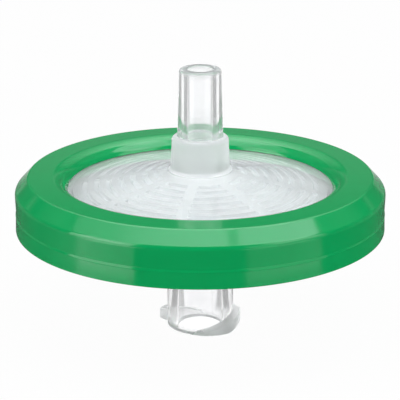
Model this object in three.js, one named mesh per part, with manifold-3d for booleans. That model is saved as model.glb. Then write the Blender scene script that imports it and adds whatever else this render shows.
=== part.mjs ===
// Syringe filter, the 33 mm disc size with luer ends, in millimetres with +Z up.
//
// A filter membrane lies between two clear polypropylene housing halves, and a green ring is
// moulded round their rims to seal and hold them. Liquid comes in through the female luer lock
// underneath and leaves through the male luer slip on top. The origin is on the axis, in the
// plane of the female luer's mouth, which is the end the filter stands on.

import * as THREE from 'three';
import { mergeVertices } from 'three/addons/utils/BufferGeometryUtils.js';
import Module from 'manifold-3d';

const wasm = await Module();
wasm.setup();

// ---- How finely round forms are faceted ----
const turnSegments = 48;          // facets round the axis, a multiple of the drain channels
const filletSteps = 2;            // facets in each rounded corner
const lugSteps = 14;              // facets along each locking lug

// ---- Fits ----
const seatGap = 0.05;             // left between pieces that are clamped or moulded together
const sink = 0.3;                 // how far an added rib or lug reaches into what carries it

// ---- Overmoulded ring ----
const windowRadius = 12.55;       // the round opening that shows the lid
const ringWidth = 5.0;            // from the opening to the outside of the ring
const inletLip = 1.2;             // ring under the housing rims
const outletLip = 1.2;            // ring over the housing rims
const chamferHeight = 1.37;       // chamfer round the top edge
const chamferWidth = 1.25;
const crestFillet = 0.3;          // where the chamfer meets the crest
const footFillet = 0.6;           // where it meets the side
const crestWidth = 1.2;           // flat crest inside the chamfer
const rollDrop = 0.2;             // how far the top falls from the crest to the window
const windowFlare = 0.32;         // how much wider the window is at the top of its edge
const windowFillet = 0.8;         // round edges of the window, above and below
const partingHeight = 1.56;       // parting line above the ring's underside
const sideDraft = 0.08;           // the side leans in towards the parting line
const bandDraft = 0.04;           // and so does the band below it
const ridgeHeight = 0.03;         // flash ridge along the parting line, out from the band
const ridgeFall = 0.08;           // its lower flank, which drops back to the band
const ridgeRise = 0.3;            // its upper flank, which sweeps up to the side
const undersideFillet = 0.1;      // outer edge of the underside, where the mould parts

// ---- Housing halves ----
const rimCover = 1.94;            // green plastic outside the rims
const inletRim = 1.2;             // rim thicknesses
const outletRim = 1.1;
const chamberInset = 0.55;        // the chamber's wall stands this far inside the window
const wall = 0.9;                 // thickness of the lid and of the inlet plate
const lidSlope = 10;              // degrees, the lid rises towards the outlet
const plateSlope = 4;             // degrees, the inlet plate falls towards the inlet
const edgeFillet = 0.15;          // edges of the rims and of the luers

// ---- Membrane ----
const membraneGrip = 1.2;         // how far its edge reaches into the clamped land
const membraneThickness = 0.2;

// ---- Male luer slip outlet, a 6 percent taper ----
const luerTaper = 0.06;           // change of diameter for each unit of length
const tipRadius = 1.975;
const slipLength = 6.45;          // from the collar's shoulder to the tip
const outletBore = 1.18;          // radius
const tipFillet = 0.25;
const collarHeight = 3.73;        // its shoulder, above the top of the ring
const collarStep = 0.5;           // how far its shoulder stands out from the slip
const collarDraft = 0.14;         // how much wider the collar is at its root
const shoulderFillet = 0.4;
const rootFillet = 0.4;

// ---- Drain face under the lid ----
const ribCount = 7;               // concentric ribs that carry the membrane
const ribPitch = 1.14;
const ribWidth = 0.5;             // at the crest
const ribDraft = 0.05;            // each flank, over the rib's height
const channelCount = 8;           // radial channels that cut the ribs
const channelWidth = 1.0;
const channelTurn = -10;          // degrees from +X to the first channel

// ---- Female luer lock inlet ----
const inletReach = 10.15;         // from the mouth to the ring's underside
const hubWall = 1.0;              // round the socket, at the mouth
const hubDraft = 0.05;            // how much wider the hub is at its root
const socketRadius = 2.15;        // at the mouth, then a 6 percent taper inwards
const socketDepth = 7.6;
const inletThroat = 1.1;          // radius of the hole from the socket to the chamber
const hubFillet = 0.8;            // where the hub meets the plate
const seamWidth = 0.14;           // mould seam down both sides of the hub
const seamHeight = 0.05;
const seamTurn = 58;              // degrees from +X

// ---- Locking lugs, two starts of a right-handed thread ----
const lugCount = 2;
const lugLift = 0.75;             // how far a lug stands out from the hub
const lugLead = 5.0;              // rise for a full turn
const lugRoot = 1.55;             // axial width where it leaves the hub
const lugCrest = 1.0;             // axial width at its crest, before the edges are rounded
const lugFillet = 0.25;
const lugHeight = 0.27;           // its lower root above the mouth, where it crosses +X
const lugStart = -108;            // degrees from +X
const lugSpan = 118;              // degrees
const lugLeadIn = 62;             // degrees over which it grows out of the hub
const lugRunOut = 8;              // degrees over which its far end fades into the hub

// ---- Spreading ribs on the inlet plate ----
const spokeCount = 16;            // every other one is long
const spokeWidth = 0.5;
const spokeHeight = 0.25;         // above the plate's floor, which they follow
const spokeEnd = 0.5;             // left between their ends and the chamber's wall
const longSpokeFoot = 3.4;        // radius where the long ones start
const shortSpokeFoot = 7.2;

// ---- Radii that follow from the sizes above ----
const ringRadius = windowRadius + ringWidth;
const rimRadius = ringRadius - rimCover;
const chamberRadius = windowRadius - chamberInset;
const membraneRadius = chamberRadius + membraneGrip;
const pocketRadius = membraneRadius + seatGap;
const slipRoot = tipRadius + (slipLength * luerTaper) / 2;
const collarRadius = slipRoot + collarStep;
const collarRoot = collarRadius + collarDraft;
const hubRadius = socketRadius + hubWall;
const hubRoot = hubRadius + hubDraft;

// ---- Levels along the axis, from the mouth upwards ----
const ringBottom = inletReach;
const inletRimBottom = ringBottom + inletLip + seatGap;
const inletLand = inletRimBottom + inletRim;
const membraneBottom = inletLand + seatGap;
const outletLand = membraneBottom + membraneThickness + seatGap;
const outletRimTop = outletLand + outletRim;
const lipUnderside = outletRimTop + seatGap;
const ringTop = lipUnderside + outletLip;
const shoulderHeight = ringTop + collarHeight;
const tipHeight = shoulderHeight + slipLength;

// ---- Values that several pieces share ----
const degrees = Math.PI / 180;
const lidRise = Math.tan(lidSlope * degrees);
const plateFall = Math.tan(plateSlope * degrees);
const lidTop = (radius) => outletRimTop + (windowRadius - radius) * lidRise;
const lidRoof = (radius) => lidTop(radius) - wall;
const plateBottom = (radius) => inletRimBottom - (windowRadius - radius) * plateFall;
const plateFloor = (radius) => plateBottom(radius) + wall;

// A closed outline from corners [radius, height, fillet], anticlockwise with the radius to the
// right. A corner with a fillet becomes an arc that is tangent to both of its sides.
function outline(corners) {
  const at = (index) => new THREE.Vector2(...corners.at(index % corners.length).slice(0, 2));
  const points = corners.flatMap(([, , fillet = 0], index) => {
    const corner = at(index);
    if (fillet === 0) return [corner];
    const back = at(index - 1).sub(corner).normalize();
    const onward = at(index + 1).sub(corner).normalize();
    const half = back.angleTo(onward) / 2;
    const start = corner.clone().addScaledVector(back, fillet / Math.tan(half));
    const middle = back.clone().add(onward).normalize();
    const centre = corner.clone().addScaledVector(middle, fillet / Math.sin(half));
    const sweep = Math.sign(onward.cross(back)) * (Math.PI - 2 * half);
    const turn = (step) => start.clone().rotateAround(centre, (sweep * step) / filletSteps);
    return Array.from({ length: filletSteps + 1 }, (_, step) => turn(step));
  });
  return [...points, points[0].clone()];
}

// A solid that can be joined and cut, from any closed geometry whose corners can be merged.
function solid(geometry) {
  const bare = geometry.clone();
  bare.deleteAttribute('normal');
  bare.deleteAttribute('uv');
  const shared = mergeVertices(bare);
  return new wasm.Manifold(new wasm.Mesh({
    numProp: 3,
    vertProperties: new Float32Array(shared.attributes.position.array),
    triVerts: new Uint32Array(shared.index.array),
  }));
}

const join = (solids) => solids.reduce((whole, piece) => whole.add(piece));

// An outline turned once round the Z axis.
function revolve(corners) {
  const geometry = new THREE.LatheGeometry(outline(corners), turnSegments);
  return solid(geometry.rotateX(Math.PI / 2));
}

// A bar that points away from the axis at a given angle.
function radialBar({ from, to, width, bottom, top, angle }) {
  const bar = new THREE.BoxGeometry(to - from, width, top - bottom);
  bar.translate((from + to) / 2, 0, (bottom + top) / 2);
  return solid(bar.rotateZ(angle * degrees));
}

const aroundAxis = (count, make) => Array.from({ length: count }, (_, index) => make(index));

// ---- Outlet housing: lid, collar and male luer slip ----

function outletBody() {
  return revolve([
    [outletBore, lidRoof(outletBore), edgeFillet],
    [chamberRadius, lidRoof(chamberRadius)],
    [chamberRadius, outletLand],
    [rimRadius, outletLand, edgeFillet],
    [rimRadius, outletRimTop, edgeFillet],
    [windowRadius, outletRimTop],
    [collarRoot, lidTop(collarRoot), rootFillet],
    [collarRadius, shoulderHeight, shoulderFillet],
    [slipRoot, shoulderHeight, edgeFillet],
    [tipRadius, tipHeight, tipFillet],
    [outletBore, tipHeight, edgeFillet],
  ]);
}

// One concentric rib: its crest lies on the membrane's level, its root follows the lid.
function drainRib(radius) {
  const inside = radius - ribWidth / 2;
  const outside = radius + ribWidth / 2;
  return revolve([
    [inside, outletLand],
    [outside, outletLand],
    [outside + ribDraft, lidRoof(outside) + sink],
    [inside - ribDraft, lidRoof(inside) + sink],
  ]);
}

function drainChannel(index) {
  return radialBar({
    from: outletBore,
    to: chamberRadius,
    width: channelWidth,
    bottom: outletLand - sink,
    top: lidTop(outletBore),
    angle: channelTurn + (index * 360) / channelCount,
  });
}

// The feature that takes the most skill: ribs cut into sectors by the radial channels, each
// rib as tall as the cone above it, so that the way to the outlet widens towards the middle.
function drainFace() {
  const ribs = aroundAxis(ribCount, (index) => drainRib(chamberRadius - (index + 1) * ribPitch));
  const channels = aroundAxis(channelCount, drainChannel);
  return join(ribs).subtract(join(channels));
}

// ---- Inlet housing: plate, hub with the female luer socket, lugs and spreading ribs ----

function inletBody() {
  const socketEnd = socketRadius - (socketDepth * luerTaper) / 2;
  return revolve([
    [socketRadius, 0, edgeFillet],
    [hubRadius, 0, edgeFillet],
    [hubRoot, plateBottom(hubRoot), hubFillet],
    [windowRadius, inletRimBottom],
    [rimRadius, inletRimBottom, edgeFillet],
    [rimRadius, outletLand - seatGap, edgeFillet],
    [pocketRadius, outletLand - seatGap],
    [pocketRadius, inletLand],
    [chamberRadius, inletLand],
    [chamberRadius, plateFloor(chamberRadius)],
    [inletThroat, plateFloor(inletThroat), edgeFillet],
    [inletThroat, socketDepth],
    [socketEnd, socketDepth, edgeFillet],
  ]);
}

// One lug: a straight bar, X along the axis and Y outwards, wound onto the hub as a thread.
function lockingLug(turn) {
  const flank = (lugRoot - lugCrest) / 2;
  const section = new THREE.Shape(outline([
    [0, -sink],
    [lugRoot, -sink],
    [lugRoot, 0],
    [lugRoot - flank, lugLift, lugFillet],
    [flank, lugLift, lugFillet],
    [0, 0],
  ]));
  const bar = new THREE.ExtrudeGeometry(section, {
    depth: lugSpan,
    steps: lugSteps,
    bevelEnabled: false,
  });
  const places = bar.attributes.position;
  for (let index = 0; index < places.count; index += 1) {
    const along = places.getZ(index);
    const outwards = places.getY(index);
    const grown = Math.min(1, along / lugLeadIn, (lugSpan - along) / lugRunOut);
    const radius = hubRadius + (outwards > 0 ? outwards * grown : outwards);
    const height = lugHeight + ((lugStart + along) / 360) * lugLead + places.getX(index);
    const angle = (lugStart + along + turn) * degrees;
    places.setXYZ(index, radius * Math.cos(angle), radius * Math.sin(angle), height);
  }
  return solid(bar);
}

// The plane of the mouth cuts the lugs, so that each rises out of it as a thread does.
function lockingLugs() {
  const lugs = join(aroundAxis(lugCount, (index) => lockingLug((index * 360) / lugCount)));
  const room = 3 * (hubRadius + lugLift);
  const below = new THREE.BoxGeometry(room, room, room).translate(0, 0, -room / 2);
  return lugs.subtract(solid(below));
}

function hubSeams() {
  return join([seamTurn, seamTurn + 180].map((angle) => radialBar({
    from: hubRadius - sink,
    to: hubRadius + seamHeight,
    width: seamWidth,
    bottom: edgeFillet,
    top: plateBottom(hubRadius) + sink,
    angle,
  })));
}

// Low ribs that follow the plate's slope. They stop a little inside the chamber's wall, so that
// liquid runs round their ends, and they stay clear of the membrane.
function spreadingSpokes() {
  const end = chamberRadius - spokeEnd;
  return join(aroundAxis(spokeCount, (index) => {
    const foot = index % 2 === 0 ? longSpokeFoot : shortSpokeFoot;
    const side = new THREE.Shape(outline([
      [foot, plateFloor(foot) - sink],
      [end, plateFloor(end) - sink],
      [end, plateFloor(end) + spokeHeight],
      [foot, plateFloor(foot) + spokeHeight],
    ]));
    const bar = new THREE.ExtrudeGeometry(side, { depth: spokeWidth, bevelEnabled: false });
    bar.translate(0, 0, -spokeWidth / 2).rotateX(Math.PI / 2);
    return solid(bar.rotateZ((channelTurn + (index * 360) / spokeCount) * degrees));
  }));
}

// ---- Overmoulded ring: a C-shaped section that wraps both rims ----

function ringBody() {
  const grooveRadius = rimRadius + seatGap;
  const waist = ringRadius - sideDraft;
  const band = ringRadius - bandDraft;
  const parting = ringBottom + partingHeight;
  const shoulder = ringRadius - chamferWidth;
  return revolve([
    [windowRadius + windowFlare, ringBottom, windowFillet],
    [ringRadius, ringBottom, undersideFillet],
    [band, parting - ridgeFall],
    [band + ridgeHeight, parting],
    [waist, parting + ridgeRise, ridgeRise],
    [ringRadius, ringTop - chamferHeight, footFillet],
    [shoulder, ringTop, crestFillet],
    [shoulder - crestWidth, ringTop, crestWidth],
    [windowRadius + windowFlare, ringTop - rollDrop, windowFillet],
    [windowRadius, lipUnderside],
    [grooveRadius, lipUnderside],
    [grooveRadius, ringBottom + inletLip],
    [windowRadius, ringBottom + inletLip],
  ]);
}

function membraneBody() {
  return revolve([
    [0, membraneBottom],
    [membraneRadius, membraneBottom],
    [membraneRadius, membraneBottom + membraneThickness],
    [0, membraneBottom + membraneThickness],
  ]);
}

// ---- Materials and the finished part ----

const clearPlastic = { color: 0xe4ecee, roughness: 0.15, metalness: 0 };
const greenPlastic = { color: 0x1c9a55, roughness: 0.35, metalness: 0 };
const whiteMembrane = { color: 0xf4f6f7, roughness: 0.9, metalness: 0 };

function piece(name, body, finish) {
  const { vertProperties, triVerts } = body.getMesh();
  const geometry = new THREE.BufferGeometry();
  geometry.setAttribute('position', new THREE.BufferAttribute(vertProperties, 3));
  geometry.setIndex(new THREE.BufferAttribute(triVerts, 1));
  geometry.computeVertexNormals();
  const mesh = new THREE.Mesh(geometry, new THREE.MeshStandardMaterial(finish));
  mesh.name = name;
  return mesh;
}

const filter = new THREE.Group();
const inletParts = [inletBody(), spreadingSpokes(), lockingLugs(), hubSeams()];
filter.add(
  piece('inlet_housing', join(inletParts), clearPlastic),
  piece('membrane', membraneBody(), whiteMembrane),
  piece('outlet_housing', outletBody().add(drainFace()), clearPlastic),
  piece('overmould_ring', ringBody(), greenPlastic),
);

export default filter;
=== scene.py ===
# %% [markdown]
# A syringe filter is a small disc that cleans the liquid pushed through it. A white membrane lies
# between two clear polypropylene halves, and a green ring is moulded round their rims. The packed
# part gives every size and place. This lesson makes smooth pieces over it, gives them plastics
# that look moulded, and lights them as on a photographer's table.

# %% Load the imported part
from math import cos, pi, radians, sin, tan

import bmesh
import bpy
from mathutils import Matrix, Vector


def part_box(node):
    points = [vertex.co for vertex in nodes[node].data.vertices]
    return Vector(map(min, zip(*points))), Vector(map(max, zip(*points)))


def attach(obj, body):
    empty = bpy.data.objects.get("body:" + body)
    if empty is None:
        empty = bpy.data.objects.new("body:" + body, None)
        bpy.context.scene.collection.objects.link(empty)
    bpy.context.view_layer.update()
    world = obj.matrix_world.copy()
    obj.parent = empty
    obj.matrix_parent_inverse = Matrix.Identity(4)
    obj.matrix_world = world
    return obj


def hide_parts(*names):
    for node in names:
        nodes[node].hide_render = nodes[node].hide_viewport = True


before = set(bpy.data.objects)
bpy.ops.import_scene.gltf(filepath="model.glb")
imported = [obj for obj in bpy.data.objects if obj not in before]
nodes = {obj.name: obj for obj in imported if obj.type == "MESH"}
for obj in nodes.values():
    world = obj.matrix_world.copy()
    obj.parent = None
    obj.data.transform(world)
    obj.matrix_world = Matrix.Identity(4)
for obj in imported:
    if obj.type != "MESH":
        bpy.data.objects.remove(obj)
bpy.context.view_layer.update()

MM = 0.001
print("nodes:", sorted(nodes))

# %% [markdown]
# The camera comes first, so that everything else can be judged through it. A short lens close by
# would bow the ring. A long lens a little over sixteen centimetres away keeps its ellipse nearly
# flat, as product pictures do, and looking down by eighteen degrees shows both the lid and the side.

# %% Camera
CAMERA_ELEVATION = radians(18.07)
CAMERA_DISTANCE = 164.9 * MM
CAMERA_LENS = 155.8
AIM_HEIGHT = 12.58 * MM
AIM_SIDE = -0.02 * MM
CLIP_NEAR = 10 * MM
CLIP_FAR = 10.0

camera = bpy.data.objects.new("camera", bpy.data.cameras.new("camera"))
bpy.context.scene.collection.objects.link(camera)
aim = Vector((AIM_SIDE, 0, AIM_HEIGHT))
outwards = Vector((0, -cos(CAMERA_ELEVATION), sin(CAMERA_ELEVATION)))
camera.location = aim + outwards * CAMERA_DISTANCE
camera.rotation_euler = (-outwards).to_track_quat("-Z", "Y").to_euler()
camera.data.lens = CAMERA_LENS
camera.data.clip_start = CLIP_NEAR
camera.data.clip_end = CLIP_FAR
bpy.context.scene.camera = camera
print("camera at", [round(c / MM, 1) for c in camera.location], "mm")

# %% [markdown]
# Every moulded piece here is round, so each starts as half a section: the shape that a saw cut
# through the axis would show. Stacked cylinders would need a boolean at every step and leave no
# rounded corners. So a section is traced by extruding one vertex from corner to corner, its corners
# are rounded with a vertex bevel, and Spin turns it once round the axis. This is how a lathe works,
# and it gives one clean closed mesh.

# %% Helpers for turned pieces
TURN_STEPS = 192
FILLET_STEPS = 5
SMOOTH_ANGLE = radians(30)
FULL_WEIGHT = 100
WELD = 1e-6


def new_mesh(name, start):
    """An object whose mesh is one vertex at start, open in edit mode."""
    bpy.ops.object.select_all(action="DESELECT")
    bpy.ops.mesh.primitive_plane_add(size=MM, location=start)
    piece = bpy.context.object
    piece.name = piece.data.name = name
    bpy.ops.object.transform_apply(location=True, rotation=True, scale=True)
    bpy.ops.object.mode_set(mode="EDIT")
    bpy.ops.mesh.select_all(action="SELECT")
    bpy.ops.mesh.merge(type="CENTER")
    return piece


def select_vertices(piece, wanted):
    """Selects the vertices, and only those, for which wanted(position) is true."""
    mesh = bmesh.from_edit_mesh(piece.data)
    bpy.ops.mesh.select_all(action="DESELECT")
    for vertex in mesh.verts:
        vertex.select = wanted(vertex.co)
    mesh.select_flush(True)
    bmesh.update_edit_mesh(piece.data)


def trace_section(name, corners):
    """A flat face with corners (radius, height) or (radius, height, fillet), open in edit mode."""
    points = [Vector((corner[0], 0, corner[1])) for corner in corners]
    piece = new_mesh(name, points[0])
    for before, after in zip(points, points[1:]):
        bpy.ops.mesh.extrude_region_move(TRANSFORM_OT_translate={"value": after - before})
    bpy.ops.mesh.select_all(action="SELECT")
    bpy.ops.mesh.edge_face_add()
    for index, corner in enumerate(corners):
        if len(corner) < 3:
            continue
        point = points[index]
        back = points[index - 1] - point
        onward = points[(index + 1) % len(points)] - point
        offset = corner[2] / tan(back.angle(onward) / 2)
        select_vertices(piece, lambda co: (co - point).length < WELD)
        bpy.ops.mesh.bevel(
            offset=offset, segments=FILLET_STEPS, affect="VERTICES", clamp_overlap=False)
    return piece


def turn(name, corners):
    """A closed solid: the section turned once round the Z axis."""
    piece = trace_section(name, corners)
    bpy.ops.mesh.select_all(action="SELECT")
    bpy.ops.mesh.delete(type="ONLY_FACE")
    bpy.ops.mesh.select_all(action="SELECT")
    bpy.ops.mesh.spin(steps=TURN_STEPS, angle=2 * pi, center=(0, 0, 0), axis=(0, 0, 1))
    bpy.ops.mesh.select_all(action="SELECT")
    bpy.ops.mesh.remove_doubles(threshold=WELD)
    bpy.ops.mesh.normals_make_consistent(inside=False)
    bpy.ops.object.mode_set(mode="OBJECT")
    return piece


def combine(piece, other, operation):
    """Joins other to piece, or cuts it out, and removes other."""
    bpy.ops.object.select_all(action="DESELECT")
    bpy.context.view_layer.objects.active = piece
    piece.select_set(True)
    modifier = piece.modifiers.new(operation.lower(), "BOOLEAN")
    modifier.operation = operation
    modifier.solver = "MANIFOLD"
    modifier.object = other
    bpy.ops.object.modifier_apply(modifier=modifier.name)
    bpy.data.objects.remove(other)
    return piece


def resize(piece, factor):
    """Scales a piece about the origin and keeps the new size in its mesh."""
    piece.scale = (factor, factor, factor)
    bpy.ops.object.transform_apply(location=False, rotation=False, scale=True)


def finish_piece(piece, node):
    """Smooth shading, and the piece's place in the part.

    Weighted normals let the widest face decide at each corner, so that the small rounded edges
    don't bend the light on the flats beside them. They take no notice of faces that are only
    millionths of a square metre, so the piece is a thousand times larger meanwhile.
    """
    bpy.ops.object.select_all(action="DESELECT")
    bpy.context.view_layer.objects.active = piece
    piece.select_set(True)
    bpy.ops.object.shade_smooth_by_angle(angle=SMOOTH_ANGLE)
    resize(piece, 1 / MM)
    flats = piece.modifiers.new("flats_stay_flat", "WEIGHTED_NORMAL")
    flats.mode = "FACE_AREA"
    flats.weight = FULL_WEIGHT
    flats.keep_sharp = True
    bpy.ops.object.modifier_apply(modifier=flats.name)
    resize(piece, MM)
    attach(piece, "root")
    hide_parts(node)
    print(piece.name, len(piece.data.polygons), "faces")
    return piece


# %% [markdown]
# Pieces that seat on each other have to agree on where. The frame gives the levels at which they
# meet, so those are read from it. The other sizes repeat the part's own, in millimetres: the opening
# in the ring, the walls, the luer tapers and the slopes.

# %% Sizes that several pieces share
ring_low, ring_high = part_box("overmould_ring")
outlet_low, outlet_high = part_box("outlet_housing")
inlet_low, inlet_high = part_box("inlet_housing")

SEAT_GAP = 0.05 * MM
SINK = 0.3 * MM
EDGE = 0.15 * MM
WALL = 0.9 * MM
WINDOW_RADIUS = 12.55 * MM
CHAMBER_RADIUS = 12.0 * MM
POCKET_RADIUS = 13.25 * MM
LIP = 1.2 * MM
LUER_TAPER = 0.06

ring_bottom = ring_low.z
ring_top = ring_high.z
outlet_land = outlet_low.z
rim_top = ring_top - LIP - SEAT_GAP
tip_height = outlet_high.z
rim_radius = outlet_high.x
inlet_rim_bottom = ring_bottom + LIP + SEAT_GAP
inlet_land = outlet_land - 0.3 * MM
rim_meeting = inlet_high.z
print("ring from", round(ring_bottom / MM, 2), "to", round(ring_top / MM, 2), "mm")

# %% [markdown]
# The ring is moulded round both rims in one shot, so its section is a C that grips them. Its top
# rolls over softly towards the window, a flat chamfer runs round the outside, and a fine raised
# line low on the side shows where the two halves of the mould met. A torus has none of these, and
# bevelling a cut cylinder would give every edge the same round. In a turned section each corner has
# a fillet of its own, and the parting line is two more corners.

# %% Green ring
RING_RADIUS = 17.55 * MM
CHAMFER_WIDTH = 1.25 * MM
CHAMFER_HEIGHT = 1.37 * MM
CREST_FILLET = 0.3 * MM
FOOT_FILLET = 0.6 * MM
WINDOW_FLARE = 0.32 * MM
ROLL_RADIUS = 1.5 * MM
WINDOW_FILLET = 0.8 * MM
PARTING_HEIGHT = 1.56 * MM
SIDE_DRAFT = 0.08 * MM
BAND_DRAFT = 0.04 * MM
RIDGE_HEIGHT = 0.025 * MM
RIDGE_FALL = 0.08 * MM
RIDGE_RISE = 0.2 * MM
RIDGE_FILLET = 0.02 * MM
BASE_FILLET = 0.1 * MM


def make_ring():
    groove = rim_radius + SEAT_GAP
    shoulder = RING_RADIUS - CHAMFER_WIDTH
    band = RING_RADIUS - BAND_DRAFT
    parting = ring_bottom + PARTING_HEIGHT
    return turn("green_ring", [
        (WINDOW_RADIUS + WINDOW_FLARE, ring_bottom, WINDOW_FILLET),
        (RING_RADIUS, ring_bottom, BASE_FILLET),
        (band, parting - RIDGE_FALL),
        (band + RIDGE_HEIGHT, parting, RIDGE_FILLET),
        (RING_RADIUS - SIDE_DRAFT, parting + RIDGE_RISE, RIDGE_RISE),
        (RING_RADIUS, ring_top - CHAMFER_HEIGHT, FOOT_FILLET),
        (shoulder, ring_top, CREST_FILLET),
        (WINDOW_RADIUS + WINDOW_FLARE, ring_top, ROLL_RADIUS),
        (WINDOW_RADIUS, rim_top + SEAT_GAP),
        (groove, rim_top + SEAT_GAP),
        (groove, ring_bottom + LIP),
        (WINDOW_RADIUS, ring_bottom + LIP),
    ])


ring = finish_piece(make_ring(), "overmould_ring")

# %% [markdown]
# The outlet half is a shallow cone with the luer slip standing on it. The slip is the tapered
# tube that a needle or a vial adapter is pushed on to, and a thicker collar carries it. Cone, collar
# and slip could be three meshes that touch, but clear plastic shows every wall inside it, so they
# are one section with one skin, as they come out of one mould.

# %% Outlet half: lid, collar and luer slip
LID_RISE = tan(radians(10))
TIP_RADIUS = 1.975 * MM
SLIP_LENGTH = 6.45 * MM
OUTLET_BORE = 1.18 * MM
TIP_FILLET = 0.25 * MM
COLLAR_STEP = 0.5 * MM
COLLAR_DRAFT = 0.14 * MM
SHOULDER_FILLET = 0.4 * MM
ROOT_FILLET = 0.4 * MM

shoulder_height = tip_height - SLIP_LENGTH
slip_root = TIP_RADIUS + SLIP_LENGTH * LUER_TAPER / 2
collar_radius = slip_root + COLLAR_STEP
collar_root = collar_radius + COLLAR_DRAFT


def lid_top(radius):
    return rim_top + (WINDOW_RADIUS - radius) * LID_RISE


def lid_roof(radius):
    return lid_top(radius) - WALL


def make_lid():
    return turn("clear_lid", [
        (OUTLET_BORE, lid_roof(OUTLET_BORE), EDGE),
        (CHAMBER_RADIUS, lid_roof(CHAMBER_RADIUS)),
        (CHAMBER_RADIUS, outlet_land),
        (rim_radius, outlet_land, EDGE),
        (rim_radius, rim_top, EDGE),
        (WINDOW_RADIUS, rim_top),
        (collar_root, lid_top(collar_root), ROOT_FILLET),
        (collar_radius, shoulder_height, SHOULDER_FILLET),
        (slip_root, shoulder_height, EDGE),
        (TIP_RADIUS, tip_height, TIP_FILLET),
        (OUTLET_BORE, tip_height, EDGE),
    ])


# %% [markdown]
# Under the lid, rings of ribs hold the membrane up while liquid runs off between them. Eight
# straight channels cut every rib, so that the liquid can reach the middle. A bump in the material
# would show lines but no depth through the clear lid, so the ribs are real. They are turned first,
# the channels are cut out of them, and only then do they join the lid, so that no channel cuts into
# the lid's wall.

# %% Drain ribs and channels
RIB_COUNT = 7
RIB_PITCH = 1.14 * MM
RIB_HALF = 0.25 * MM
RIB_DRAFT = 0.05 * MM
RIB_EDGE = 0.06 * MM
CHANNEL_COUNT = 8
CHANNEL_WIDTH = 1.0 * MM
CHANNEL_TURN = radians(-10)


def box(name, size, middle, angle):
    """A box of size (length, width, height) with its middle (radius, height) on a ray at angle."""
    radius, height = middle
    bpy.ops.object.select_all(action="DESELECT")
    bpy.ops.mesh.primitive_cube_add(size=1, location=(radius * cos(angle), radius * sin(angle), height))
    piece = bpy.context.object
    piece.name = piece.data.name = name
    piece.scale = size
    piece.rotation_euler.z = angle
    bpy.ops.object.transform_apply(location=True, rotation=True, scale=True)
    return piece


def make_rib(index):
    middle = CHAMBER_RADIUS - (index + 1) * RIB_PITCH
    inside = middle - RIB_HALF
    outside = middle + RIB_HALF
    return turn("rib", [
        (inside, outlet_land, RIB_EDGE),
        (outside, outlet_land, RIB_EDGE),
        (outside + RIB_DRAFT, lid_roof(outside) + SINK),
        (inside - RIB_DRAFT, lid_roof(inside) + SINK),
    ])


def make_channel(index):
    length = CHAMBER_RADIUS - OUTLET_BORE
    height = lid_top(OUTLET_BORE) - outlet_land + SINK
    middle = (OUTLET_BORE + length / 2, outlet_land - SINK + height / 2)
    angle = CHANNEL_TURN + index * 2 * pi / CHANNEL_COUNT
    return box("channel", (length, CHANNEL_WIDTH, height), middle, angle)


def union_all(pieces):
    whole = pieces[0]
    for piece in pieces[1:]:
        combine(whole, piece, "UNION")
    return whole


ribs = union_all([make_rib(index) for index in range(RIB_COUNT)])
for index in range(CHANNEL_COUNT):
    combine(ribs, make_channel(index), "DIFFERENCE")
lid = combine(make_lid(), ribs, "UNION")
finish_piece(lid, "outlet_housing")

# %% [markdown]
# The inlet half is the same plate turned over, with the female luer under it: a tapered socket in
# a straight hub, for the nose of a syringe. The socket could be drilled with a boolean, but as part
# of the section its taper and its wall come out exact.

# %% Inlet half: plate, hub and socket
PLATE_FALL = tan(radians(4))
SOCKET_RADIUS = 2.15 * MM
SOCKET_DEPTH = 7.6 * MM
HUB_RADIUS = 3.15 * MM
HUB_DRAFT = 0.05 * MM
HUB_FILLET = 0.8 * MM
THROAT_RADIUS = 1.1 * MM


def plate_bottom(radius):
    return inlet_rim_bottom - (WINDOW_RADIUS - radius) * PLATE_FALL


def plate_floor(radius):
    return plate_bottom(radius) + WALL


def make_base():
    hub_root = HUB_RADIUS + HUB_DRAFT
    socket_end = SOCKET_RADIUS - SOCKET_DEPTH * LUER_TAPER / 2
    return turn("clear_base", [
        (SOCKET_RADIUS, inlet_low.z, EDGE),
        (HUB_RADIUS, inlet_low.z, EDGE),
        (hub_root, plate_bottom(hub_root), HUB_FILLET),
        (WINDOW_RADIUS, inlet_rim_bottom),
        (rim_radius, inlet_rim_bottom, EDGE),
        (rim_radius, rim_meeting, EDGE),
        (POCKET_RADIUS, rim_meeting),
        (POCKET_RADIUS, inlet_land),
        (CHAMBER_RADIUS, inlet_land),
        (CHAMBER_RADIUS, plate_floor(CHAMBER_RADIUS)),
        (THROAT_RADIUS, plate_floor(THROAT_RADIUS), EDGE),
        (THROAT_RADIUS, SOCKET_DEPTH),
        (socket_end, SOCKET_DEPTH, EDGE),
    ])


# %% [markdown]
# Two lugs are the start of a right-handed thread with a lead of five millimetres. The Screw
# modifier makes a thread of one height from end to end, but a lug grows out of the hub at its start
# and fades at its far end. So each is made as a thread is drawn: its section is extruded, turned two
# degrees round the hub, lifted and scaled, over and over. The plane of the mouth cuts off what would
# hang below.

# %% Locking lugs
LUG_LIFT = 0.75 * MM
LUG_LEAD = 5.0 * MM
LUG_ROOT = 1.55 * MM
LUG_CREST = 1.0 * MM
LUG_FILLET = 0.25 * MM
LUG_HEIGHT = 0.27 * MM
LUG_START = radians(-108)
LUG_SPAN = radians(118)
LUG_LEAD_IN = radians(62)
LUG_RUN_OUT = radians(8)
LUG_STEPS = 59
LUG_LEAST = 0.02
LUG_CLEAR = 0.02 * MM


def lug_size(along):
    """How far the lug has grown out of the hub, from 0 to 1, at an angle from its start."""
    return max(LUG_LEAST, min(1, along / LUG_LEAD_IN, (LUG_SPAN - along) / LUG_RUN_OUT))


def turn_selected(angle):
    """Turns what is selected about the Z axis. With no window, rotate goes the other way."""
    bpy.ops.transform.rotate(value=-angle, orient_axis="Z", center_override=(0, 0, 0))


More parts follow.
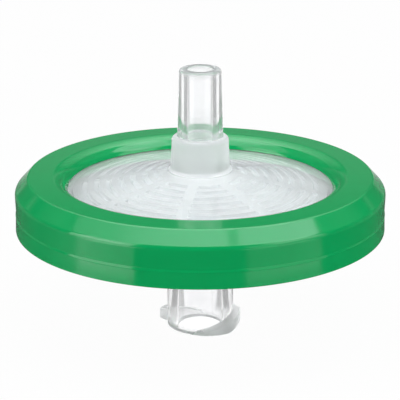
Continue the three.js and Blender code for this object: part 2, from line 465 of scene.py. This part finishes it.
def grow_section(lug, ratio):
    """Scales the selected section's stand from the hub, and leaves its sunken root alone."""
    mesh = bmesh.from_edit_mesh(lug.data)
    for vertex in mesh.verts:
        radius = vertex.co.xy.length
        if vertex.select and radius > HUB_RADIUS:
            vertex.co.xy *= (HUB_RADIUS + (radius - HUB_RADIUS) * ratio) / radius
    bmesh.update_edit_mesh(lug.data)


def make_lug(turned):
    flank = (LUG_ROOT - LUG_CREST) / 2
    low = LUG_HEIGHT + LUG_START / (2 * pi) * LUG_LEAD
    lug = trace_section("lug", [
        (HUB_RADIUS - SINK, low),
        (HUB_RADIUS, low),
        (HUB_RADIUS + LUG_LIFT, low + flank, LUG_FILLET),
        (HUB_RADIUS + LUG_LIFT, low + LUG_ROOT - flank, LUG_FILLET),
        (HUB_RADIUS, low + LUG_ROOT),
        (HUB_RADIUS - SINK, low + LUG_ROOT),
    ])
    bpy.ops.mesh.select_all(action="SELECT")
    turn_selected(LUG_START + turned)
    step = LUG_SPAN / LUG_STEPS
    size = 1
    for index in range(LUG_STEPS + 1):
        if index > 0:
            bpy.ops.mesh.extrude_region_move()
            turn_selected(step)
            bpy.ops.transform.translate(value=(0, 0, step / (2 * pi) * LUG_LEAD))
        wanted = lug_size(index * step)
        grow_section(lug, wanted / size)
        size = wanted
    bpy.ops.mesh.select_all(action="SELECT")
    bpy.ops.mesh.normals_make_consistent(inside=False)
    bpy.ops.mesh.bisect(plane_co=(0, 0, inlet_low.z + LUG_CLEAR), plane_no=(0, 0, 1), use_fill=True,
                        clear_inner=True, threshold=WELD)
    bpy.ops.object.mode_set(mode="OBJECT")
    return lug


# %% [markdown]
# Low ribs on the plate's inside spread the liquid under the membrane, and the mould left a thin
# seam down each side of the hub. Each is a small solid of its own that a boolean joins to the half.
# The sixteen ribs have two lengths, so they are made by one function that is given a number.

# %% Spreading ribs and seams
SPOKE_COUNT = 16
SPOKE_WIDTH = 0.5 * MM
SPOKE_HEIGHT = 0.25 * MM
SPOKE_END = 0.5 * MM
LONG_SPOKE_FOOT = 3.4 * MM
SHORT_SPOKE_FOOT = 7.2 * MM
SEAM_WIDTH = 0.14 * MM
SEAM_HEIGHT = 0.05 * MM
SEAM_TURN = radians(58)


def make_spoke(index):
    foot = LONG_SPOKE_FOOT if index % 2 == 0 else SHORT_SPOKE_FOOT
    end = CHAMBER_RADIUS - SPOKE_END
    spoke = trace_section("spoke", [
        (foot, plate_floor(foot) - SINK),
        (end, plate_floor(end) - SINK),
        (end, plate_floor(end) + SPOKE_HEIGHT),
        (foot, plate_floor(foot) + SPOKE_HEIGHT),
    ])
    bpy.ops.mesh.select_all(action="SELECT")
    bpy.ops.transform.translate(value=(0, -SPOKE_WIDTH / 2, 0))
    bpy.ops.mesh.extrude_region_move(TRANSFORM_OT_translate={"value": (0, SPOKE_WIDTH, 0)})
    bpy.ops.mesh.select_all(action="SELECT")
    bpy.ops.mesh.normals_make_consistent(inside=False)
    turn_selected(CHANNEL_TURN + index * 2 * pi / SPOKE_COUNT)
    bpy.ops.object.mode_set(mode="OBJECT")
    return spoke


def make_seam(angle):
    low = inlet_low.z + EDGE
    high = plate_bottom(HUB_RADIUS) + SINK
    size = (SINK + SEAM_HEIGHT, SEAM_WIDTH, high - low)
    middle = (HUB_RADIUS + (SEAM_HEIGHT - SINK) / 2, (low + high) / 2)
    return box("seam", size, middle, angle)


base = make_base()
additions = [make_lug(turned) for turned in (0, pi)]
additions += [make_spoke(index) for index in range(SPOKE_COUNT)]
additions += [make_seam(angle) for angle in (SEAM_TURN, SEAM_TURN + pi)]
for addition in additions:
    combine(base, addition, "UNION")
finish_piece(base, "inlet_housing")

# %% [markdown]
# Materials are node trees. Colours are written as sRGB hex values, as a paint chart gives them, and
# one function turns them to the linear values that shaders add up. Another adds a node with its
# settings and links in one call, so that a tree reads from top to bottom. A third lets a level
# follow a value from pair to pair, and the plastic, the paper, the room and the lamps all use it.

# %% Helpers for materials
def colour(code):
    """A linear colour from an sRGB hex value."""
    parts = [int(code[place:place + 2], 16) / 255 for place in (0, 2, 4)]
    return (*[p / 12.92 if p <= 0.04045 else ((p + 0.055) / 1.055) ** 2.4 for p in parts], 1)


def add_node(tree, kind, settings=None, inputs=None):
    """Adds a node, sets its properties, and sets or links each input, by its name or number."""
    node = tree.nodes.new(kind)
    for name, value in (settings or {}).items():
        setattr(node, name, value)
    for name, value in (inputs or {}).items():
        if isinstance(value, bpy.types.NodeSocket):
            tree.links.new(value, node.inputs[name])
        else:
            node.inputs[name].default_value = value
    return node


def graded(tree, value, levels):
    """A level that follows a value through (value, level) pairs, straight from one to the next."""
    start = levels[0][0]
    end = levels[-1][0]
    brightest = max(level for _, level in levels)
    spread = add_node(tree, "ShaderNodeMapRange", {}, {
        "Value": value, "From Min": start, "From Max": end})
    ramp = add_node(tree, "ShaderNodeValToRGB", {}, {"Fac": spread.outputs[0]})
    marks = ramp.color_ramp.elements
    while len(marks) < len(levels):
        marks.new(1)
    for mark, (place, level) in zip(marks, levels):
        mark.position = (place - start) / (end - start)
        mark.color = (level / brightest,) * 3 + (1,)
    return add_node(tree, "ShaderNodeMath", {"operation": "MULTIPLY"}, {
        0: ramp.outputs[0], 1: brightest}).outputs[0]


def new_material(name):
    material = bpy.data.materials.new(name)
    material.use_nodes = True
    material.node_tree.nodes.clear()
    print("material", name)
    return material, material.node_tree


def wear(piece, material):
    """Gives a piece its material all over."""
    piece.data.materials.clear()
    piece.data.materials.append(material)


def wear_at(piece, material, wanted):
    """Gives a material to the faces for which wanted(radius, height) is true."""
    piece.data.materials.append(material)
    for face in piece.data.polygons:
        if wanted(face.center.xy.length, face.center.z):
            face.material_index = len(piece.data.materials) - 1


# %% [markdown]
# The ring is polypropylene with a green masterbatch, injection moulded against a satin steel mould.
# That gives it one opaque colour right through and a soft shine that stays narrow. A single colour
# and roughness would look like paint, so a slow noise shifts both a little, as pigment and flow do,
# and a fine one gives the skin that the steel left. The real grain is some hundredths of a
# millimetre across, too fine to show, so it is drawn coarser.

# %% Green moulded polypropylene
PLASTIC_IOR = 1.49
DEEP_GREEN = "0AAE5F"
LIGHT_GREEN = "0BB464"
LEAST_ROUGHNESS = 0.08
MOST_ROUGHNESS = 0.12
FLOW_SIZE = 2.5 * MM
GRAIN_SIZE = 0.18 * MM
GRAIN_DEPTH = 0.01 * MM
GRAIN_STRENGTH = 0.04


def green_polypropylene():
    material, tree = new_material("moulded_green_polypropylene")
    place = add_node(tree, "ShaderNodeTexCoord").outputs["Object"]
    flow = add_node(tree, "ShaderNodeTexNoise", {}, {
        "Vector": place, "Scale": 1 / FLOW_SIZE, "Detail": 2}).outputs["Fac"]
    # In a Mix of colours, the two colours are inputs 6 and 7 and the result is output 2.
    shade = add_node(tree, "ShaderNodeMix", {"data_type": "RGBA"}, {
        "Factor": flow, 6: colour(DEEP_GREEN), 7: colour(LIGHT_GREEN)}).outputs[2]
    gloss = add_node(tree, "ShaderNodeMapRange", {}, {
        "Value": flow, "To Min": LEAST_ROUGHNESS, "To Max": MOST_ROUGHNESS}).outputs[0]
    grain = add_node(tree, "ShaderNodeTexNoise", {}, {
        "Vector": place, "Scale": 1 / GRAIN_SIZE, "Detail": 3}).outputs["Fac"]
    bump = add_node(tree, "ShaderNodeBump", {}, {
        "Height": grain, "Strength": GRAIN_STRENGTH, "Distance": GRAIN_DEPTH}).outputs[0]
    shader = add_node(tree, "ShaderNodeBsdfPrincipled", {}, {
        "Base Color": shade, "Roughness": gloss, "Normal": bump, "IOR": PLASTIC_IOR})
    add_node(tree, "ShaderNodeOutputMaterial", {}, {"Surface": shader.outputs[0]})
    return material


wear(ring, green_polypropylene())

# %% [markdown]
# Natural polypropylene is clear with a breath of milk in it. A glass shader alone would be too
# clean, so it is mixed with milk: half of that scatters light back, and half lets it through to the
# far side. Light from lamps passes it through a plain Transparent shader, because a path tracer
# can't aim at a lamp through a bent surface, and the membrane underneath would be left dark.

# %% Clear moulded polypropylene
CLEAR_TINT = "FDFDFE"
MILK_TINT = "F4F6F6"
SHADE_TINT = "F6F8F8"


def clear_polypropylene(name, roughness, milkiness):
    """Milkiness is a level, or (height, level) pairs where it changes up the piece."""
    material, tree = new_material(name)
    clear = add_node(tree, "ShaderNodeBsdfPrincipled", {}, {
        "Base Color": colour(CLEAR_TINT), "Roughness": roughness, "IOR": PLASTIC_IOR,
        "Transmission Weight": 1.0}).outputs[0]
    lit_side = add_node(tree, "ShaderNodeBsdfDiffuse", {}, {"Color": colour(MILK_TINT)}).outputs[0]
    far_side = add_node(tree, "ShaderNodeBsdfTranslucent", {}, {"Color": colour(MILK_TINT)}).outputs[0]
    milk = add_node(tree, "ShaderNodeMixShader", {}, {0: 0.5, 1: lit_side, 2: far_side}).outputs[0]
    if isinstance(milkiness, list):
        place = add_node(tree, "ShaderNodeTexCoord").outputs["Object"]
        height = add_node(tree, "ShaderNodeSeparateXYZ", {}, {"Vector": place}).outputs["Z"]
        milkiness = graded(tree, height, milkiness)
    body = add_node(tree, "ShaderNodeMixShader", {}, {0: milkiness, 1: clear, 2: milk}).outputs[0]
    shade = add_node(tree, "ShaderNodeBsdfTransparent", {}, {"Color": colour(SHADE_TINT)}).outputs[0]
    rays = add_node(tree, "ShaderNodeLightPath").outputs
    mix = add_node(tree, "ShaderNodeMixShader", {}, {0: rays["Is Shadow Ray"], 1: body, 2: shade})
    add_node(tree, "ShaderNodeOutputMaterial", {}, {"Surface": mix.outputs[0]})
    return material


# %% [markdown]
# How clear the plastic looks depends on how the mould's steel was finished at each place. The steel
# was polished for the lid and for the slip, which seals against a needle's hub, blasted for the
# collar, and left satin where nothing has to be seen through. The drain ribs are textured and the
# lugs etched, so both look paler than what they stand on. The hub is drawn off its mould with a
# clean skin, and is milkier only at its mouth. The slip looks milkier at its foot, where the wall
# is thick, and at its rim, where the edges scatter light. One material for each piece would lose
# all this, so each finish is given to faces by their radius and height.

# %% Finishes of the clear halves
SKIN = 0.02 * MM
LUG_TOP = 4 * MM
HUB_MILK = [(0, 0.3), (0.6 * MM, 0.04)]
SLIP_MILK = [(shoulder_height - 1 * MM, 0.3), (shoulder_height + 2.4 * MM, 0.05),
             (tip_height - 0.7 * MM, 0.06), (tip_height, 0.4)]

satin = clear_polypropylene("satin_clear_polypropylene", roughness=0.3, milkiness=0.3)
glossy = clear_polypropylene("glossy_clear_polypropylene", roughness=0.06, milkiness=0.2)
frosted = clear_polypropylene("frosted_clear_polypropylene", roughness=0.45, milkiness=0.35)
textured = clear_polypropylene("textured_clear_polypropylene", roughness=0.5, milkiness=0.7)
etched = clear_polypropylene("etched_clear_polypropylene", roughness=0.75, milkiness=0.3)
polished = clear_polypropylene("polished_clear_polypropylene", roughness=0.04, milkiness=SLIP_MILK)
drawn = clear_polypropylene("drawn_clear_polypropylene", roughness=0.04, milkiness=HUB_MILK)

wear(lid, satin)
wear_at(lid, glossy, lambda radius, height: height > lid_top(radius) - SKIN)
wear_at(lid, frosted, lambda radius, height: (
    radius < collar_root + ROOT_FILLET / 2 and height > lid_top(collar_root)))
wear_at(lid, polished, lambda radius, height: height > shoulder_height + SKIN)
wear_at(lid, textured, lambda radius, height: (
    radius < CHAMBER_RADIUS - SKIN and height < lid_roof(radius) - SKIN))

wear(base, satin)
wear_at(base, drawn, lambda radius, height: height < plate_bottom(HUB_RADIUS) - HUB_FILLET)
wear_at(base, etched, lambda radius, height: (
    radius > HUB_RADIUS + SEAM_HEIGHT + SKIN and height < LUG_TOP))

# %% [markdown]
# The membrane is a white microporous film, cast and quite matt, so it shows no highlight. Its pores
# are under a micrometre. They are drawn more than a hundred times as coarse, at a tenth of a
# millimetre, so that the film has any grain to show. Its flat disc needs no new mesh.

# %% White membrane film
FILM_WHITE = "E8E9E9"
FILM_ROUGHNESS = 0.9
PORE_SIZE = 0.1 * MM
PORE_DEPTH = 0.01 * MM
PORE_STRENGTH = 0.1


def membrane_film():
    material, tree = new_material("white_microporous_membrane")
    place = add_node(tree, "ShaderNodeTexCoord").outputs["Object"]
    pores = add_node(tree, "ShaderNodeTexNoise", {}, {
        "Vector": place, "Scale": 1 / PORE_SIZE, "Detail": 4}).outputs["Fac"]
    bump = add_node(tree, "ShaderNodeBump", {}, {
        "Height": pores, "Strength": PORE_STRENGTH, "Distance": PORE_DEPTH}).outputs[0]
    shader = add_node(tree, "ShaderNodeBsdfPrincipled", {}, {
        "Base Color": colour(FILM_WHITE), "Roughness": FILM_ROUGHNESS, "Normal": bump})
    add_node(tree, "ShaderNodeOutputMaterial", {}, {"Surface": shader.outputs[0]})
    return material


wear(nodes["membrane"], membrane_film())

# %% [markdown]
# The floor is plain white paper. To the camera it glows, with only a trace of how the lamps light
# it, so a breath of the filter's shadow is left. Clear plastic and gloss are drawn by what lies
# round them, so photographers lay cards beside such an object: grey ones draw the edges of the
# clear tubes, and white ones in front put light on the ring's side. Real cards would have to stay
# out of view and would shade the paper, so here the paper glows in their place, though it is no
# lamp, for rays that have passed through plastic or that a gloss has mirrored: the grey bands in
# the clear tubes and the bright patches on the ring's side are painted reflections of cards that
# are not there. That glow goes by the direction from the filter, in degrees from straight behind
# it, clockwise from above. Close to the axis it shines evenly through the plastic, and what is
# mirrored is dimmer within five centimetres of the axis, a painted shade of the filter on the
# paper.

# %% Paper floor
FLOOR_HALF = 2.0
FLOOR_DROP = 0.02 * MM
PAPER_WHITE = "F2F2F2"
PAPER_GLOW = 0.97
# Painted grey and white cards: the paper's glow for rays through plastic, by direction.
SEEN_THROUGH = [(-180, 1), (-72, 1), (-70, 0.45), (-32, 0.45), (-26, 1.15), (26, 1.15), (32, 0.45),
                (70, 0.45), (72, 1), (180, 1)]
SEEN_THROUGH_NEAR = 1.2
CARD_NEAR = 4.5 * MM
CARD_FAR = 7.5 * MM
# Painted reflections of cards: the paper's glow for mirrored rays, by direction.
MIRRORED = [(-180, 0.02), (-147.7, 0.02), (-146.7, 1.7), (-116, 3), (-111.5, 1), (-100, 0.5),
            (-85, 0.2), (-26, 0.2), (-16, 1.5), (16, 1.5), (26, 0.2), (60, 0.2), (114, 0.03),
            (116, 1.4), (156.8, 1), (157.8, 0.02), (180, 0.02)]
# A painted shade of the filter: the mirrored paper is dimmer this close to the axis.
PAINTED_SHADE_NEAR = 49 * MM
PAINTED_SHADE_FAR = 52 * MM
PAINTED_SHADE_LEVEL = 0.4


def glow_through(tree, direction, distance):
    """How bright the paper glows for a ray through plastic: painted grey and white cards."""
    cards = graded(tree, direction, SEEN_THROUGH)
    outwards = add_node(tree, "ShaderNodeMapRange", {}, {
        "Value": distance, "From Min": CARD_NEAR, "From Max": CARD_FAR}).outputs[0]
    return add_node(tree, "ShaderNodeMix", {}, {
        "Factor": outwards, "A": SEEN_THROUGH_NEAR, "B": cards}).outputs[0]


def glow_mirrored(tree, direction, distance):
    """How bright the paper glows for a mirrored ray: painted cards, and painted shade near the filter.
    """
    cards = graded(tree, direction, MIRRORED)
    painted_shade = add_node(tree, "ShaderNodeMapRange", {}, {
        "Value": distance, "From Min": PAINTED_SHADE_NEAR, "From Max": PAINTED_SHADE_FAR, "To Min": PAINTED_SHADE_LEVEL}).outputs[0]
    return add_node(tree, "ShaderNodeMath", {"operation": "MULTIPLY"}, {0: painted_shade, 1: cards}).outputs[0]


def floor_paper():
    material, tree = new_material("white_paper")
    place = add_node(tree, "ShaderNodeTexCoord").outputs["Object"]
    axes = add_node(tree, "ShaderNodeSeparateXYZ", {}, {"Vector": place}).outputs
    turned = add_node(tree, "ShaderNodeMath", {"operation": "ARCTAN2"}, {
        0: axes["X"], 1: axes["Y"]}).outputs[0]
    direction = add_node(tree, "ShaderNodeMath", {"operation": "DEGREES"}, {0: turned}).outputs[0]
    distance = add_node(tree, "ShaderNodeVectorMath", {"operation": "LENGTH"}, {
        0: place}).outputs["Value"]
    rays = add_node(tree, "ShaderNodeLightPath").outputs
    glow = add_node(tree, "ShaderNodeMix", {}, {
        "Factor": rays["Is Glossy Ray"], "A": 1.0,
        "B": glow_mirrored(tree, direction, distance)}).outputs[0]
    glow = add_node(tree, "ShaderNodeMix", {}, {
        "Factor": rays["Is Transmission Ray"], "A": glow,
        "B": glow_through(tree, direction, distance)}).outputs[0]
    seen = add_node(tree, "ShaderNodeMath", {"operation": "MAXIMUM"}, {
        0: rays["Is Camera Ray"], 1: rays["Is Transmission Ray"]}).outputs[0]
    seen = add_node(tree, "ShaderNodeMath", {"operation": "MAXIMUM"}, {
        0: seen, 1: rays["Is Glossy Ray"]}).outputs[0]
    share = add_node(tree, "ShaderNodeMath", {"operation": "MULTIPLY"}, {
        0: seen, 1: PAPER_GLOW}).outputs[0]
    paper = add_node(tree, "ShaderNodeBsdfDiffuse", {}, {"Color": colour(PAPER_WHITE)}).outputs[0]
    white = add_node(tree, "ShaderNodeEmission", {}, {"Strength": glow}).outputs[0]
    mix = add_node(tree, "ShaderNodeMixShader", {}, {0: share, 1: paper, 2: white})
    add_node(tree, "ShaderNodeOutputMaterial", {}, {"Surface": mix.outputs[0]})
    return material


bpy.ops.object.select_all(action="DESELECT")
bpy.ops.mesh.primitive_plane_add(size=2 * FLOOR_HALF, location=(0, 0, -FLOOR_DROP))
floor = bpy.context.object
floor.name = "floor"
bpy.ops.object.transform_apply(location=True, rotation=True, scale=True)
wear(floor, floor_paper())
print("floor", 2 * FLOOR_HALF, "m across")

# %% [markdown]
# A bright room is the simplest light, but the ring's top mirrors it at a flat angle and would wash
# out. So the room is dim, apart from the white that the camera sees. A gloss sees a room that
# changes with the height above the horizon, in degrees, and that is dimmer in front of the filter
# than behind it: a narrow bright band draws the ring's far edge, and a wider one lights the far
# side of its round top. Plastic is seen through to a backdrop that is white low down and darkens
# higher up, which gives the clear pieces some grey.

# %% Room
BACKDROP = [(-90, 1), (9, 1), (16, 0.35), (90, 0.3)]
ROOM = [(-90, 0.4), (1, 0.4), (4, 0.1), (14, 0.1), (15.6, 0.34), (16.5, 0.34), (17.4, 0.2),
        (18.3, 0.1), (19.5, 0.06), (22, 0.08), (26, 0.2), (33, 0.33), (42, 0.33), (55, 0.15), (90, 0.15)]
FRONT_SHARE = 0.15
FRONT_TO_REAR = 0.3
ROOM_LIGHT = 0.15

world = bpy.data.worlds.new("studio")
bpy.context.scene.world = world
world.use_nodes = True
room = world.node_tree
room.nodes.clear()
view = add_node(room, "ShaderNodeTexCoord").outputs["Generated"]
sight = add_node(room, "ShaderNodeSeparateXYZ", {}, {"Vector": view}).outputs
climb = add_node(room, "ShaderNodeMath", {"operation": "ARCSINE"}, {0: sight["Z"]}).outputs[0]
elevation = add_node(room, "ShaderNodeMath", {"operation": "DEGREES"}, {0: climb}).outputs[0]
rearward = add_node(room, "ShaderNodeMapRange", {}, {
    "Value": sight["Y"], "From Min": -FRONT_TO_REAR, "From Max": FRONT_TO_REAR,
    "To Min": FRONT_SHARE}).outputs[0]
mirrored = add_node(room, "ShaderNodeMath", {"operation": "MULTIPLY"}, {
    0: rearward, 1: graded(room, elevation, ROOM)}).outputs[0]
rays = add_node(room, "ShaderNodeLightPath").outputs
seen = add_node(room, "ShaderNodeMix", {}, {
    "Factor": rays["Is Glossy Ray"], "A": ROOM_LIGHT, "B": mirrored}).outputs[0]
seen = add_node(room, "ShaderNodeMix", {}, {
    "Factor": rays["Is Transmission Ray"], "A": seen,
    "B": graded(room, elevation, BACKDROP)}).outputs[0]
seen = add_node(room, "ShaderNodeMix", {}, {
    "Factor": rays["Is Camera Ray"], "A": seen, "B": 1.0}).outputs[0]
sky = add_node(room, "ShaderNodeBackground", {}, {"Color": (1, 1, 1, 1), "Strength": seen})
add_node(room, "ShaderNodeOutputWorld", {}, {"Surface": sky.outputs[0]})
print("room light", ROOM_LIGHT, "of white")

# %% [markdown]
# Area lamps stand for softboxes. Their energy goes by their size, so a helper works it out from how
# bright they should look, and another lets the brightness change across one, as it does on a real
# softbox that is lit from one side.

# %% Helpers for lamps
LAMP_TARGET = Vector((0, 0, 12 * MM))


def softbox(name, place, size, brightness):
    """A rectangular lamp that faces the filter, as bright as brightness times white."""
    lamp = bpy.data.lights.new(name, "AREA")
    lamp.shape = "RECTANGLE"
    lamp.size, lamp.size_y = size
    lamp.energy = brightness * pi * size[0] * size[1]
    holder = bpy.data.objects.new(name, lamp)
    bpy.context.scene.collection.objects.link(holder)
    holder.location = place
    holder.rotation_euler = (LAMP_TARGET - Vector(place)).to_track_quat("-Z", "Y").to_euler()
    holder.visible_camera = False
    print(name, "gives", round(lamp.energy, 2), "W")
    return holder


def grade_lamp(holder, axis, levels):
    """Makes a lamp's brightness change along its X or Y, from 0 at one edge to 1 at the other."""
    holder.data.use_nodes = True
    tree = holder.data.node_tree
    tree.nodes.clear()
    place = add_node(tree, "ShaderNodeNewGeometry").outputs["Parametric"]
    along = add_node(tree, "ShaderNodeSeparateXYZ", {}, {"Vector": place}).outputs[axis]
    glow = add_node(tree, "ShaderNodeEmission", {}, {"Strength": graded(tree, along, levels)})
    add_node(tree, "ShaderNodeOutputLight", {}, {"Surface": glow.outputs[0]})


# %% [markdown]
# One wide softbox hangs overhead. It fades to the left, has a narrow slot right of its middle and
# ends sharply on the right, and the ring's chamfer shows all three. At full strength it would bleach
# the lid, so part of its shine comes from a twin that only a gloss can see. Two smaller softboxes in
# front lift the upright surfaces. Four cards, which only a gloss sees too, put light on the ring's
# sides, left and right, and on its round top, from behind and above.

# %% Softboxes and cards
DAYLIGHT = (0.955, 0.98, 1.0)
VIOLET_DAYLIGHT = (0.9, 0.87, 1.0)
OVERHEAD_LEVELS = [(0, 0.27), (0.057, 0.3), (0.092, 0.33), (0.19, 0.42), (0.287, 0.7), (0.394, 0.88),
                   (0.5, 1), (0.584, 1), (0.593, 0.5), (0.615, 0.5), (0.629, 1), (0.942, 1),
                   (0.944, 0), (1, 0)]
BEHIND_LEVELS = [(0, 0.03), (0.25, 0.1), (0.42, 0.3), (0.55, 0.5), (0.7, 0.9), (1, 1.25)]
ABOVE_LEVELS = [(0, 0.2), (0.5, 1), (1, 0.2)]

overhead = softbox("overhead", place=(0, -0.08, 0.5), size=(1.24, 0.4), brightness=2.1)
sheen = softbox("overhead_sheen", place=(0, -0.08, 0.52), size=(1.28, 0.42), brightness=1.4)
overhead.data.color = DAYLIGHT
sheen.data.color = VIOLET_DAYLIGHT
grade_lamp(overhead, "X", OVERHEAD_LEVELS)
grade_lamp(sheen, "X", OVERHEAD_LEVELS)

softbox("front_left", place=(-0.52, -0.28, 0.38), size=(0.4, 0.4), brightness=2.1)
softbox("front_right", place=(0.52, -0.28, 0.38), size=(0.4, 0.4), brightness=1.7)

card_left = softbox("card_left", place=(-0.4415, -0.2347, 0.15), size=(0.4, 0.3), brightness=2.5)
card_right = softbox("card_right", place=(0.4045, -0.294, 0.15), size=(0.49, 0.3), brightness=0.8)
card_behind = softbox("card_behind", place=(0, 0.3, 0.35), size=(0.54, 0.45), brightness=2.6)
card_above = softbox("card_above", place=(0, 0.05, 0.48), size=(0.56, 0.3), brightness=1.9)
grade_lamp(card_behind, "Y", BEHIND_LEVELS)
grade_lamp(card_above, "Y", ABOVE_LEVELS)

for gloss_only in (sheen, card_left, card_right, card_behind, card_above):
    gloss_only.visible_diffuse = False
    gloss_only.visible_transmission = False

# %% [markdown]
# Plain view settings keep a colour as it is written.

# %% Finish
bpy.context.scene.view_settings.view_transform = "Standard"
